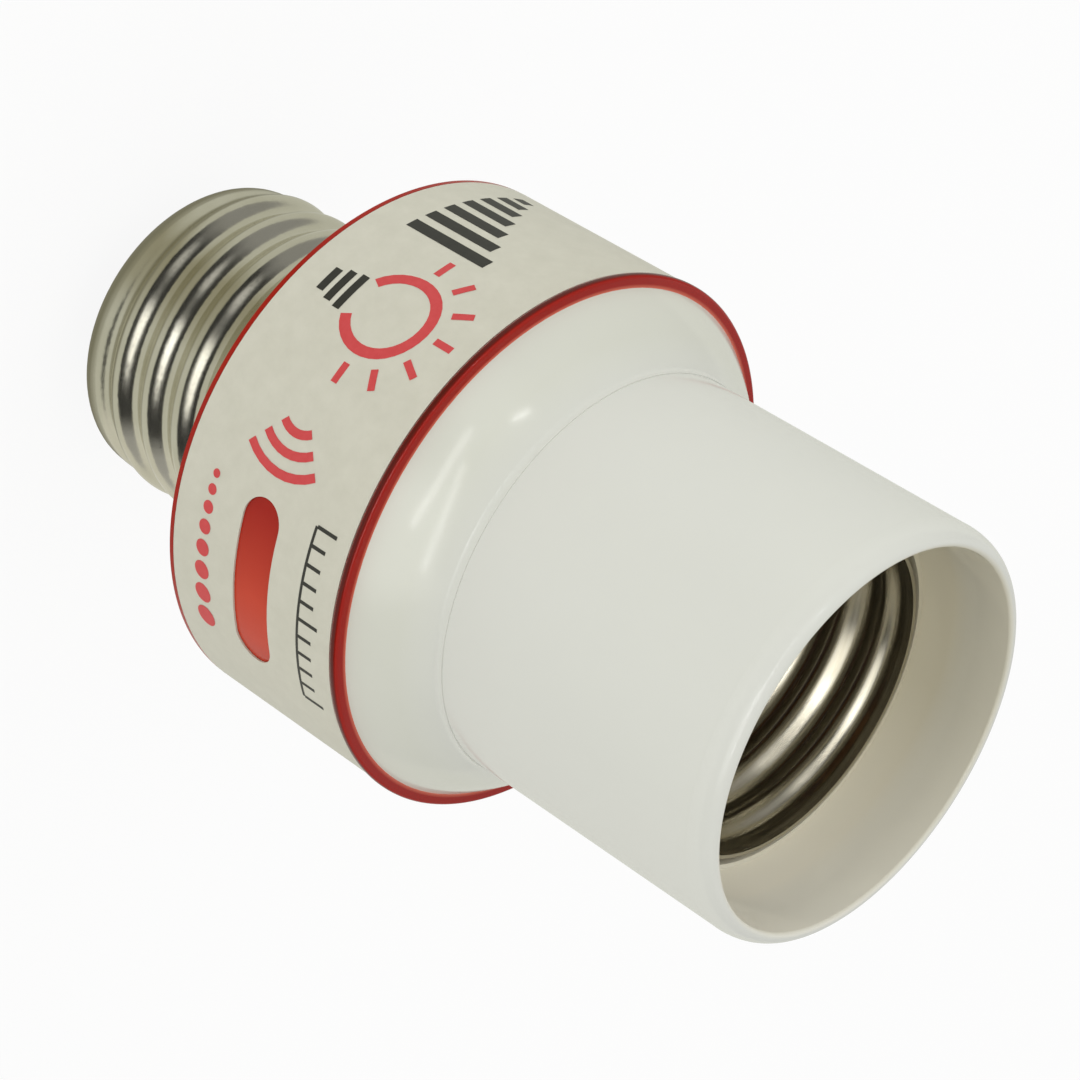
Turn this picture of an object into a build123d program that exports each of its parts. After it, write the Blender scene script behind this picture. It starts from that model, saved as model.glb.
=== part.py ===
"""Screw-in lamp socket adapter with an infrared receiver in its drum.

Sizes are in millimetres. +Z runs along the axis, from the contact tip at z = 0 to the open mouth.
"""

import os
from math import cos, pi, radians, sin, tan

from build123d import *

os.makedirs("parts", exist_ok=True)

# Screw form of both rolled shells: medium screw, seven turns to the inch
thread_pitch = 25.4 / 7
thread_depth = 0.84
sheet = 0.3

# Screw base
cap_length = 26.5
cap_crest_d = 26.2
cap_bottom = 3.4
cap_lip_d = 19.2
tip_d = 9.2

# Drum
drum_d = 43.7
drum_length = 18.6
ring_wall = 1.6
back_rim = 0.15
front_rim = 0.3
label_thickness = 0.15
window_length = 14.0
window_height = 3.8
window_angle = -50

# Front housing
neck_d = 33.4
neck_length = 31.5
mouth_d = 30.6
lip_drop = 2.0
shoulder_step = 0.7
shoulder_rise = 5.4
shoulder_lean = 57

# Socket
rim_depth = 7.3
socket_root_d = 26.8
floor_thickness = 2.5
contact_width = 5.0
contact_sheet = 0.4

# Board
board_thickness = 1.6
board_gap = 1.65
lead_d = 1.5
lead_gap = 1.16

# Heights along the axis
drum_back = cap_length
drum_front = drum_back + drum_length
mouth = drum_front + neck_length
socket_rim = mouth - rim_depth
floor_top = drum_front + 3.2
floor_bottom = floor_top - floor_thickness
board_top = floor_bottom - 5.2
board_bottom = board_top - board_thickness
cap_top = drum_back - 3.1
cover_back = drum_back - 1.5
cover_inside = drum_back + 0.3
spigot_depth = 2.5

# Radii
swing = thread_depth / 2
cap_r = cap_crest_d / 2 - swing
socket_r = socket_root_d / 2 - swing
drum_r = drum_d / 2
ring_inside = drum_r - ring_wall
spigot_r = ring_inside - 0.1
spigot_inside = spigot_r - 1.5
shoulder_r = drum_r - shoulder_step
neck_r = neck_d / 2
mouth_r = mouth_d / 2
barrel_r = socket_r + sheet + swing + 0.28
floor_r = barrel_r + 1.0
stem_r = cap_r - sheet - swing - 0.1
stem_inside = stem_r - 1.95
screw_circle = spigot_inside - 1.45
post_circle = screw_circle - 0.6
board_r = ring_inside - board_gap
lead_r = lead_d / 2
shell_lead_y = lead_gap + lead_r - stem_inside
screw_start = 100
post_start = 40

LOW = (Align.CENTER, Align.CENTER, Align.MIN)
HIGH = (Align.CENTER, Align.CENTER, Align.MAX)


def thread_line(bottom, top, fade):
    """Points of the line that carries a rolled screw, which fades out over `fade` turns at each end.

    A round single-start screw is a circle whose centre winds round the axis at half the thread
    depth, so each shell is one flat ring carried along this line without turning.
    """
    turns = (top - bottom) / thread_pitch
    count = round(turns * 12)
    points = []
    for step in range(count + 1):
        turn = turns * step / count
        ramp = min(1, min(turn, turns - turn) / fade)
        reach = swing * ramp * ramp * (3 - 2 * ramp)
        angle = 2 * pi * turn
        points.append((reach * cos(angle), reach * sin(angle), bottom + thread_pitch * turn))
    return points


# Screw base

with BuildPart() as tip_contact:
    with BuildSketch(Plane.XZ):
        with BuildLine():
            TangentArc((0, 0), (tip_d / 2, 0.75), tangent=(1, 0))
            Polyline(
                (tip_d / 2, 0.75),
                (tip_d / 2, 1.0),
                (1.6, 1.0),
                (1.6, cap_bottom + 1.8),
                (2.4, cap_bottom + 1.8),
                (2.4, cap_bottom + 2.2),
                (0.9, cap_bottom + 2.2),
                (0.9, 1.2),
                (0, 1.2),
                (0, 0),
            )
        make_face()
    revolve(axis=Axis.Z)
    tip_contact.part.label = "tip_contact"
export_step(tip_contact.part, "parts/tip_contact.step")

with BuildPart() as base_insulator:
    with BuildSketch(Plane.XZ):
        with BuildLine():
            Polyline(
                (1.65, 1.0),
                (tip_d / 2 + 0.5, 1.0),
                (cap_lip_d / 2 - 0.1, cap_bottom - 0.1),
                (cap_lip_d / 2 - 0.1, cap_bottom + sheet),
                (cap_lip_d / 2 + 0.7, cap_bottom + sheet),
                (cap_lip_d / 2 + 0.7, cap_bottom + 1.8),
                (1.65, cap_bottom + 1.8),
                close=True,
            )
        make_face()
    revolve(axis=Axis.Z)
    base_insulator.part.label = "base_insulator"
export_step(base_insulator.part, "parts/base_insulator.step")

cap_bend = cap_r - cap_lip_d / 2 - 0.78
cap_thread_bottom = cap_bottom + cap_bend
cap_thread_top = cap_top - 1.0

with BuildPart() as screw_shell:
    with BuildLine():
        Spline(*thread_line(cap_thread_bottom, cap_thread_top, 0.5))
    with BuildSketch(Plane.XY.offset(cap_thread_bottom)):
        Circle(cap_r)
        Circle(cap_r - sheet, mode=Mode.SUBTRACT)
    sweep(normal=(0, 0, 1))
    with BuildSketch(Plane.XZ):
        with BuildLine():
            CenterArc((cap_r - cap_bend, cap_thread_bottom), cap_bend, 270, 90)
            CenterArc((cap_r - cap_bend, cap_thread_bottom), cap_bend - sheet, 270, 90)
            Line((cap_r - sheet, cap_thread_bottom), (cap_r, cap_thread_bottom))
            Polyline(
                (cap_r - cap_bend, cap_bottom),
                (cap_lip_d / 2, cap_bottom),
                (cap_lip_d / 2, cap_bottom + sheet),
                (cap_r - cap_bend, cap_bottom + sheet),
            )
        make_face()
    revolve(axis=Axis.Z)
    with BuildSketch(Plane.XY.offset(cap_thread_top)):
        Circle(cap_r)
        Circle(cap_r - sheet, mode=Mode.SUBTRACT)
    extrude(amount=cap_top - cap_thread_top)
    screw_shell.part.label = "screw_shell"
export_step(screw_shell.part, "parts/screw_shell.step")


# Drum

with BuildPart() as rear_cover:
    with BuildSketch(Plane.XZ):
        with BuildLine():
            Polyline(
                (shoulder_r - 1.5, cover_back),
                (cap_crest_d / 2 + 1.3, cover_back),
                (cap_crest_d / 2 + 1.3, cap_top),
                (stem_r, cap_top),
                (stem_r, cap_bottom + 1.8),
                (stem_inside, cap_bottom + 1.8),
                (stem_inside, cover_inside),
                (spigot_inside, cover_inside),
                (spigot_inside, drum_back + spigot_depth),
                (spigot_r, drum_back + spigot_depth),
                (spigot_r, drum_back),
                (shoulder_r, drum_back),
            )
            CenterArc((shoulder_r - 1.5, drum_back), 1.5, 270, 90)
        make_face()
    revolve(axis=Axis.Z)
    collar = rear_cover.edges().filter_by(GeomType.CIRCLE).filter_by(
        lambda edge: abs(edge.radius - cap_crest_d / 2 - 1.3) < 0.01 and edge.center().Z < cap_top + 0.1
    )
    fillet(collar, 0.5)
    with PolarLocations(screw_circle, 3, start_angle=screw_start):
        with Locations((0, 0, cover_inside)):
            Cylinder(2.4, drum_back + spigot_depth - cover_inside, align=LOW)
        with Locations((0, 0, cover_back)):
            Cone(2.15, 1.15, 1.0, align=LOW, mode=Mode.SUBTRACT)
            Cylinder(1.25, 6, align=LOW, mode=Mode.SUBTRACT)
    with PolarLocations(post_circle, 3, start_angle=post_start):
        with Locations((0, 0, cover_inside)):
            Cylinder(1.5, board_bottom - cover_inside, align=LOW)
    with Locations((0, -stem_r + 1, cap_bottom + 1.8)):
        Box(1.9, 5, 3.6, align=LOW, mode=Mode.SUBTRACT)
    rear_cover.part.label = "rear_cover"
export_step(rear_cover.part, "parts/rear_cover.step")

with BuildPart() as cover_screws:
    with PolarLocations(screw_circle, 3, start_angle=screw_start):
        with Locations((0, 0, cover_back)):
            Cone(2.1, 1.1, 1.0, align=LOW)
            Cylinder(1.1, 10.5, align=LOW)
            Box(2.5, 0.55, 0.7, align=LOW, mode=Mode.SUBTRACT)
            Box(0.55, 2.5, 0.7, align=LOW, mode=Mode.SUBTRACT)
    cover_screws.part.label = "cover_screws"
export_step(cover_screws.part, "parts/cover_screws.step")

label_back = drum_back + 0.45
label_height = drum_length - 1.25
label_r = drum_r + 0.02

with BuildPart() as window_ring:
    with BuildSketch(Plane.XZ):
        with BuildLine():
            Polyline(
                (ring_inside, drum_back),
                (drum_r + back_rim, drum_back),
                (drum_r + back_rim, label_back - 0.05),
                (drum_r, label_back - 0.05),
                (drum_r, label_back + label_height + 0.05),
                (drum_r + front_rim, label_back + label_height + 0.05),
                (drum_r + front_rim, drum_front),
                (ring_inside, drum_front),
                close=True,
            )
        ring_section = make_face()
        fillet(ring_section.vertices().sort_by(Axis.Y).group_by(Axis.X)[-1], 0.3)
    revolve(axis=Axis.Z)
    window_ring.part.label = "window_ring"
export_step(window_ring.part, "parts/window_ring.step")

with BuildPart() as wrap_label:
    with BuildSketch(Plane.XY.offset(label_back)):
        Circle(label_r + label_thickness)
        Circle(label_r, mode=Mode.SUBTRACT)
        with Locations((0, drum_r)):
            Rectangle(0.5, 3, mode=Mode.SUBTRACT)
    extrude(amount=label_height)
    window_way = (cos(radians(window_angle)), sin(radians(window_angle)), 0)
    window_plane = Plane(
        origin=(0, 0, label_back + label_height / 2),
        x_dir=(-window_way[1], window_way[0], 0),
        z_dir=window_way,
    )
    with BuildSketch(window_plane):
        SlotOverall(window_length, window_height)
    extrude(amount=drum_r + 2, mode=Mode.SUBTRACT)
    wrap_label.part.label = "wrap_label"
export_step(wrap_label.part, "parts/wrap_label.step")


# Front housing: shoulder, neck and mouth

crease = 0.5
seam = 0.08
neck_start = drum_front + shoulder_rise
lip_edge = 0.3
lip_r = mouth_r + lip_edge
bore_end = socket_rim + 4.1
ledge = barrel_r + 0.4

with BuildPart() as front_housing:
    with BuildSketch(Plane.XZ):
        with BuildLine():
            Polyline((spigot_r, drum_front - spigot_depth), (spigot_r, drum_front), (shoulder_r, drum_front))
            TangentArc(
                (shoulder_r, drum_front),
                (neck_r + seam, neck_start - crease),
                tangent=(-cos(radians(shoulder_lean)), sin(radians(shoulder_lean))),
            )
            Polyline(
                (neck_r + seam, neck_start - crease),
                (neck_r + seam, neck_start),
                (neck_r, neck_start),
                (neck_r, mouth - lip_drop),
            )
            EllipticalCenterArc((lip_r, mouth - lip_drop), neck_r - lip_r, lip_drop, 0, arc_size=90)
            CenterArc((lip_r, mouth - lip_edge), lip_edge, 90, 90)
            Line((mouth_r, mouth - lip_edge), (mouth_r, bore_end))
            TangentArc((mouth_r, bore_end), (ledge, socket_rim - 0.3), tangent=(0, -1))
            Polyline(
                (ledge, socket_rim - 0.3),
                (barrel_r, socket_rim - 0.3),
                (barrel_r, floor_top),
                (floor_r + 0.1, floor_top),
                (floor_r + 0.1, floor_top - 1.4),
                (spigot_inside, drum_front - 0.1),
                (spigot_inside, drum_front - spigot_depth),
                (spigot_r, drum_front - spigot_depth),
            )
        housing_section = make_face()
        fillet(housing_section.vertices().sort_by_distance((neck_r + seam, neck_start - crease))[0], crease)
    revolve(axis=Axis.Z)
    with PolarLocations(screw_circle, 3, start_angle=screw_start):
        with Locations((0, 0, board_top)):
            Cylinder(2.5, drum_front + 0.6 - board_top, align=LOW)
            Cylinder(2.0, board_top - drum_back - spigot_depth - 0.1, align=HIGH)
    with Locations((0, 0, floor_top)):
        Cylinder(floor_r + 0.1, floor_top - board_top + 1, align=HIGH, mode=Mode.SUBTRACT)
    with PolarLocations(screw_circle, 3, start_angle=screw_start):
        with Locations((0, 0, drum_back + spigot_depth)):
            Cylinder(1.12, 8.5, align=LOW, mode=Mode.SUBTRACT)
    front_housing.part.label = "front_housing"
export_step(front_housing.part, "parts/front_housing.step")


# Lamp socket

shell_bend = 0.6
socket_thread_bottom = floor_top + shell_bend + sheet
socket_thread_top = socket_rim - 0.6
tab_r = 10.4
tab_width = 4.0

with BuildPart() as socket_shell:
    with BuildLine():
        Spline(*thread_line(socket_thread_bottom, socket_thread_top, 0.5))
    with BuildSketch(Plane.XY.offset(socket_thread_bottom)):
        Circle(socket_r + sheet)
        Circle(socket_r, mode=Mode.SUBTRACT)
    sweep(normal=(0, 0, 1))
    with BuildSketch(Plane.XZ):
        with BuildLine():
            CenterArc((socket_r - shell_bend, socket_thread_bottom), shell_bend + sheet, 270, 90)
            CenterArc((socket_r - shell_bend, socket_thread_bottom), shell_bend, 270, 90)
            Line((socket_r, socket_thread_bottom), (socket_r + sheet, socket_thread_bottom))
            Polyline(
                (socket_r - shell_bend, floor_top),
                (tab_r, floor_top),
                (tab_r, floor_top + sheet),
                (socket_r - shell_bend, floor_top + sheet),
            )
        make_face()
    revolve(axis=Axis.Z)
    with BuildSketch(Plane.XY.offset(socket_thread_top)):
        Circle(socket_r + sheet)
        Circle(socket_r, mode=Mode.SUBTRACT)
    extrude(amount=socket_rim - socket_thread_top)
    with Locations((0, tab_r + sheet + 0.2, board_bottom + 0.2)):
        Box(tab_width, 2 * sheet, floor_top + sheet / 2 - board_bottom - 0.2, align=LOW)
    socket_shell.part.label = "socket_shell"
export_step(socket_shell.part, "parts/socket_shell.step")

foot_back = -9.2
rivet_x = -7.0
tongue_rise = 28
foot_bend = -5.0
hinge_x = foot_bend + 1.5
hinge_z = floor_top + contact_sheet / 2 + 1.5 * tan(radians(tongue_rise))

with BuildPart() as socket_floor:
    with Locations((0, 0, floor_top)):
        Cylinder(floor_r, floor_thickness, align=HIGH)
    with Locations((0, tab_r + sheet + 0.2, floor_top)):
        Box(tab_width + 0.6, 2 * sheet + 0.6, 2 * floor_thickness, mode=Mode.SUBTRACT)
    with Locations((foot_back + contact_sheet / 2, 0, floor_top)):
        Box(contact_sheet + 0.3, 3.4, 2 * floor_thickness, mode=Mode.SUBTRACT)
    with Locations((rivet_x, 0, floor_top)):
        Cylinder(1.1, 2 * floor_thickness, mode=Mode.SUBTRACT)
    with PolarLocations(floor_r - 2.2, 3, start_angle=post_start):
        with Locations((0, 0, floor_bottom)):
            Cylinder(1.3, floor_bottom - board_top, align=HIGH)
    socket_floor.part.label = "socket_floor"
export_step(socket_floor.part, "parts/socket_floor.step")

with BuildPart() as contact_foot:
    with BuildSketch(Plane.XZ):
        with BuildLine():
            leg_x = foot_back + contact_sheet / 2
            foot_z = floor_top + contact_sheet / 2
            Polyline((leg_x, board_bottom + 0.2), (leg_x, foot_z), (foot_bend, foot_z))
            PolarLine((foot_bend, foot_z), 1.5 / cos(radians(tongue_rise)) - 0.7, tongue_rise)
        trace(line_width=contact_sheet)
    extrude(amount=contact_width / 2, both=True)
    with Locations((leg_x, 1.5, floor_top), (leg_x, -1.5 - contact_width, floor_top)):
        Box(2, contact_width, 30, align=(Align.CENTER, Align.MIN, Align.MAX), mode=Mode.SUBTRACT)
    with Locations((rivet_x, 0, floor_top)):
        Cylinder(1.1, 4, mode=Mode.SUBTRACT)
    contact_foot.part.label = "contact_foot"
export_step(contact_foot.part, "parts/contact_foot.step")

with BuildPart() as contact_rivet:
    with Locations((rivet_x, 0, floor_top + contact_sheet)):
        Cylinder(1.9, 0.7, align=LOW)
    fillet(contact_rivet.edges().filter_by(GeomType.CIRCLE).sort_by(Axis.Z)[-1], 0.5)
    with Locations((rivet_x, 0, floor_top + contact_sheet)):
        Cylinder(1.05, contact_sheet + floor_thickness + 0.5, align=HIGH)
    with Locations((rivet_x, 0, floor_bottom)):
        Cylinder(1.8, 0.5, align=HIGH)
    contact_rivet.part.label = "contact_rivet"
export_step(contact_rivet.part, "parts/contact_rivet.step")

crown_r = 2.2

with BuildPart() as contact_tongue:
    with BuildSketch(Plane.XZ):
        with BuildLine():
            rising = PolarLine((hinge_x, hinge_z), 4.4, tongue_rise)
            crown = JernArc(rising @ 1, rising % 1, crown_r, -2 * tongue_rise - 30)
            PolarLine(crown @ 1, 0.5, -tongue_rise - 30)
        trace(line_width=contact_sheet)
        with Locations((hinge_x, hinge_z)):
            Circle(0.4)
    extrude(amount=contact_width / 2, both=True)
    contact_tongue.part.label = "contact_tongue"
export_step(contact_tongue.part, "parts/contact_tongue.step")


# Electronics in the drum

with BuildPart() as circuit_board:
    with BuildSketch(Plane.XY.offset(board_bottom)):
        Circle(board_r)
        with PolarLocations(screw_circle, 3, start_angle=screw_start):
            Circle(2.2, mode=Mode.SUBTRACT)
            with Locations((2, 0)):
                Rectangle(4, 4.4, mode=Mode.SUBTRACT)
        with Locations((0, tab_r + sheet + 0.2)):
            Rectangle(tab_width + 0.4, 2 * sheet + 0.4, mode=Mode.SUBTRACT)
        with Locations((foot_back + contact_sheet / 2, 0)):
            Rectangle(contact_sheet + 0.3, 3.3, mode=Mode.SUBTRACT)
    extrude(amount=board_thickness)
    circuit_board.part.label = "circuit_board"
export_step(circuit_board.part, "parts/circuit_board.step")

receiver_plane = Plane(origin=(0, 0, board_bottom), x_dir=window_way, z_dir=(0, 0, 1))
receiver_front = board_r - 1.2

with BuildPart() as infrared_receiver:
    with Locations(receiver_plane):
        with Locations((receiver_front, 0, -1.0)):
            Box(3.2, 5.6, 6.6, align=(Align.MAX, Align.CENTER, Align.MAX))
        with Locations((receiver_front - 1.6, 0, -1.0)):
            with GridLocations(0, 1.6, 1, 3):
                Box(0.4, 0.6, 1.0, align=LOW)
        with Locations((receiver_front, 0, -4.4)):
            Sphere(2.0)
    infrared_receiver.part.label = "infrared_receiver"
export_step(infrared_receiver.part, "parts/infrared_receiver.step")

with BuildPart() as triac:
    with Locations((-12.2, 0, board_bottom)):
        Box(10.4, 7.8, 2.8, align=HIGH)
        chamfer(triac.edges().filter_by(Axis.Y).group_by(Axis.Z)[0], 0.4)
    with Locations((-15.0, 0, board_bottom)):
        Cylinder(1.5, 8, mode=Mode.SUBTRACT)
    triac.part.label = "triac"
export_step(triac.part, "parts/triac.step")

with BuildPart() as film_capacitor:
    with Locations((0, 0, board_bottom)):
        Box(13.0, 6.6, 10.6, align=HIGH)
    fillet(film_capacitor.edges().filter_by(Axis.Z), 0.6)
    fillet(film_capacitor.faces().sort_by(Axis.Z)[0].edges(), 0.5)
    film_capacitor.part.label = "film_capacitor"
export_step(film_capacitor.part, "parts/film_capacitor.step")

with BuildPart() as electrolytic_capacitor:
    with BuildSketch(Plane.XZ):
        with BuildLine():
            Polyline(
                (0, 0),
                (3.15, 0),
                (3.15, -1.2),
                (2.9, -1.5),
                (3.15, -1.8),
                (3.15, -10.2),
                (2.75, -10.6),
                (0, -10.6),
                close=True,
            )
        make_face()
    revolve(axis=Axis.Z)
    electrolytic_capacitor.part = electrolytic_capacitor.part.moved(Location((11.6, 0, board_bottom)))
    electrolytic_capacitor.part.label = "electrolytic_capacitor"
export_step(electrolytic_capacitor.part, "parts/electrolytic_capacitor.step")

with BuildPart() as control_chip:
    with Locations((5.2, 0, board_top + 0.5)):
        Box(6.4, 9.3, 3.2, align=LOW)
    chamfer(control_chip.faces().sort_by(Axis.Z)[-1].edges(), 0.3)
    with Locations((5.2, 0, board_top)):
        with GridLocations(7.2, 2.54, 2, 4):
            Box(0.8, 1.0, 2.2, align=LOW)
    control_chip.part.label = "control_chip"
export_step(control_chip.part, "parts/control_chip.step")

with BuildPart() as fuse_resistor:
    with Locations(Location((-2.0, -8.4, board_top + 1.4), (0, 90, 0))):
        Cylinder(1.2, 6.4)
        Cylinder(0.35, 10)
    with Locations((-2.0, -8.4, board_top)):
        with GridLocations(9.4, 1, 2, 1):
            Cylinder(0.35, 1.6, align=LOW)
    fuse_resistor.part.label = "fuse_resistor"
export_step(fuse_resistor.part, "parts/fuse_resistor.step")

with BuildPart() as rectifier_diodes:
    with Locations((-2.6, 4.8, board_top), (-2.6, 8.0, board_top)):
        with Locations(Location((0, 0, 1.4), (0, 90, 0))):
            Cylinder(1.2, 4.6)
            Cylinder(0.35, 8)
        with GridLocations(7.4, 1, 2, 1):
            Cylinder(0.35, 1.6, align=LOW)
    rectifier_diodes.part.label = "rectifier_diodes"
export_step(rectifier_diodes.part, "parts/rectifier_diodes.step")

with BuildPart() as tip_lead:
    with BuildLine():
        FilletPolyline(
            (0, 0, 1.25),
            (0, 0, cap_bottom + 6),
            (4.0, -6.4, cap_bottom + 17),
            (4.0, -6.4, board_bottom),
            radius=8,
        )
    with BuildSketch(Plane.XY.offset(1.25)):
        Circle(lead_r)
    sweep()
    tip_lead.part.label = "tip_lead"
export_step(tip_lead.part, "parts/tip_lead.step")

with BuildPart() as shell_lead:
    with BuildLine():
        FilletPolyline(
            (0, shell_lead_y, board_bottom),
            (0, shell_lead_y, cap_bottom + 3.6),
            (0, -stem_r - 0.2, cap_bottom + 3.6),
            radius=2,
        )
    with BuildSketch(Plane.XY.offset(board_bottom)):
        with Locations((0, shell_lead_y)):
            Circle(lead_r)
    sweep()
    shell_lead.part.label = "shell_lead"
export_step(shell_lead.part, "parts/shell_lead.step")
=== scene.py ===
# %% [markdown]
# # A screw-in lamp socket adapter
# The object screws into a lamp holder with its nickel base and takes a lamp in its own socket. Between
# the two sits a drum with a paper label, and behind the label a red ring lets infrared light in. The
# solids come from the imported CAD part, so this script gives them their finishes, adds two turned
# pieces, the print on the label and the spring contact, and sets up the light and the camera.

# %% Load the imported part
import math

import bmesh
import bpy
from mathutils import Matrix, Vector


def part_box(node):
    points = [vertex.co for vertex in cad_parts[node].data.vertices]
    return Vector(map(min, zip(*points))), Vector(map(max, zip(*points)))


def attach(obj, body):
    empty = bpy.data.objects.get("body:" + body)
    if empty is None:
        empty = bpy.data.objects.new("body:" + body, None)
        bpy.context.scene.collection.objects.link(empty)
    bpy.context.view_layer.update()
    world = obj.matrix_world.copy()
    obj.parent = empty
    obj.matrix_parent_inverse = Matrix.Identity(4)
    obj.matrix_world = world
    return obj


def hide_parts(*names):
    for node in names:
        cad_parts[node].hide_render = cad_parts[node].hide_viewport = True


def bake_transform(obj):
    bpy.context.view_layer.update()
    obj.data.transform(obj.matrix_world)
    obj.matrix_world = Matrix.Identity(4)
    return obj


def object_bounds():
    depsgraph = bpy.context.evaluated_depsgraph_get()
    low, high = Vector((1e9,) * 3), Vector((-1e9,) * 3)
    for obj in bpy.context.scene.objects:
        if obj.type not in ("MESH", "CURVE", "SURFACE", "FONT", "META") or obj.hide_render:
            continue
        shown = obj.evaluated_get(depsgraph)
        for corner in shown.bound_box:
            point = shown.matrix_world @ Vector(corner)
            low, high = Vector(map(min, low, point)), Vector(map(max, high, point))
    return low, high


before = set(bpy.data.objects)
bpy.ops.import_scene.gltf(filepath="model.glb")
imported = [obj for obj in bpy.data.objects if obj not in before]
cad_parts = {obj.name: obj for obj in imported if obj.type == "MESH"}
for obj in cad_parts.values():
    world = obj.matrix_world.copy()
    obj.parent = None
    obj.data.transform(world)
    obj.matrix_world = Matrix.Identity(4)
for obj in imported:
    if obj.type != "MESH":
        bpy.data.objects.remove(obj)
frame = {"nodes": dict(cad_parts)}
nodes = frame["nodes"]
cad_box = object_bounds()
print("CAD nodes:", len(nodes), "box in mm:", [round((b - a) * 1000, 2) for a, b in zip(*cad_box)])

# %% [markdown]
# ## The camera
# The photograph was taken with a longish lens from a little over a quarter of a metre, and the object
# lay on its side. Here the object stands on its contact tip, so the camera looks down at it by 34
# degrees and is rolled about its own line of sight. That gives the same picture and keeps the object's
# own frame.

# %% Camera
photo_pixels, focal_pixels = 1080, 3488
camera_place = (0.000175, -0.217314, 0.191919)
look_down, roll = 34.31, 122.04
lens = bpy.data.cameras.new("photo_camera")
lens.sensor_width = 36
lens.lens = lens.sensor_width * focal_pixels / photo_pixels
camera = bpy.data.objects.new("photo_camera", lens)
bpy.context.scene.collection.objects.link(camera)
camera.matrix_world = (
    Matrix.Translation(camera_place)
    @ Matrix.Rotation(math.radians(90 - look_down), 4, "X")
    @ Matrix.Rotation(math.radians(roll), 4, "Z")
)
bpy.context.scene.camera = camera
print("camera lens in mm:", round(lens.lens, 1))

# %% [markdown]
# ## Colours and nodes
# Colours are written as they look on a screen, in sRGB, and Blender calculates with linear light, so
# one function turns the one into the other. A second one adds a node, sets its options and joins its
# sockets, which keeps each finish below short. A third says how fine a pattern is from its real size. A
# Mix node has sockets for several kinds of data under the same names, so its colour sockets go by
# number, and the numbers are named here.

# %% Helpers for colours, nodes and sizes
def linear(hex_colour):
    """An sRGB colour such as D9DAD2 as linear red, green, blue and alpha."""
    parts = [int(hex_colour[i : i + 2], 16) / 255 for i in (0, 2, 4)]
    return [p / 12.92 if p <= 0.04045 else ((p + 0.055) / 1.055) ** 2.4 for p in parts] + [1]


def add(tree, kind, sockets, **settings):
    """A new node with its settings; a socket gets a link where it is given an output, or else a value."""
    node = tree.nodes.new(kind)
    for name, value in settings.items():
        setattr(node, name, value)
    for socket, value in sockets.items():
        if isinstance(value, bpy.types.NodeSocket):
            tree.links.new(value, node.inputs[socket])
        else:
            node.inputs[socket].default_value = value
    return node


def per_mm(size):
    """The texture scale at which a pattern's features are `size` millimetres wide."""
    return 1000 / size


SHARE, FROM, TO, MIXED = 0, 6, 7, 2
print("half grey on a screen is", round(linear("808080")[0], 3), "in linear light")

# %% [markdown]
# ## Starting a finish
# Every finish starts the same way: a material, the numbers of its shader that are the same all over,
# and Object coordinates, which are metres in the object's own frame. Much on a round object changes
# from the inside to the outside, so one helper measures the distance from the axis. The last one puts a
# finish on the CAD nodes that have it.

# %% Helpers for finishes
def new_finish(name, **constants):
    """A material with its shader's constant sockets set, its nodes, its shader and Object coordinates."""
    material = bpy.data.materials.new(name)
    material.use_nodes = True
    tree = material.node_tree
    shader = tree.nodes["Principled BSDF"]
    for socket, value in constants.items():
        shader.inputs[socket.replace("_", " ")].default_value = value
    where = add(tree, "ShaderNodeTexCoord", {}).outputs["Object"]
    return material, tree, shader, where


def from_axis(tree, where):
    """The distance from the object's axis, in metres."""
    flat = add(tree, "ShaderNodeVectorMath", {0: where, 1: (1, 1, 0)}, operation="MULTIPLY")
    length = add(tree, "ShaderNodeVectorMath", {0: flat.outputs["Vector"]}, operation="LENGTH")
    return length.outputs["Value"]


def dress(material, *names):
    """Gives the finish to CAD nodes."""
    for name in names:
        nodes[name].data.materials.clear()
        nodes[name].data.materials.append(material)
    print(material.name, "on", ", ".join(names))


print("nodes to dress:", ", ".join(nodes))

# %% [markdown]
# ## Ivory ABS, moulded and polished
# The front housing and the rear cover are injection moulded from a warm white ABS, and the resin's
# colour isn't quite even. From the foot of the neck down, the shoulder gets a little painted shade, a
# darker yellow. Inside the mouth the wall gets painted shade, a darker beige, and painted light on the
# side where the light falls in. So a slow noise gives the colour, the height paints the shoulder's
# shade, and the distance from the axis and the side paint the shade and the light in the mouth.

# %% Ivory ABS: resin and painted shade on the shoulder
neck_foot_z, shoulder_shade_z = 0.0505, 0.048
ivory, tree, shader, where = new_finish("ivory_abs_polished_mould", IOR=1.53, Specular_IOR_Level=0.3)
cloud = add(tree, "ShaderNodeTexNoise", {"Vector": where, "Scale": per_mm(14), "Detail": 3})
tint = add(
    tree, "ShaderNodeMix", {SHARE: cloud.outputs["Fac"], FROM: linear("DADBD3"), TO: linear("DEDFD6")},
    data_type="RGBA",
)
across = add(tree, "ShaderNodeSeparateXYZ", {0: where})
# Painted shade: from the foot of the neck down, the shoulder is multiplied by a pale yellow, darker where
# less light falls.
shoulder_shade_mask = add(
    tree, "ShaderNodeMapRange",
    {"Value": across.outputs["Z"], "From Min": neck_foot_z, "From Max": shoulder_shade_z},
)
painted_shoulder_shade = add(
    tree, "ShaderNodeMix",
    {SHARE: shoulder_shade_mask.outputs["Result"], FROM: tint.outputs[MIXED], TO: linear("F9F9F4")},
    data_type="RGBA", blend_type="MULTIPLY",
)
print("painted_shade_on_shoulder from", round(1000 * neck_foot_z, 1), "mm down to", round(1000 * shoulder_shade_z, 1), "mm")
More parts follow.
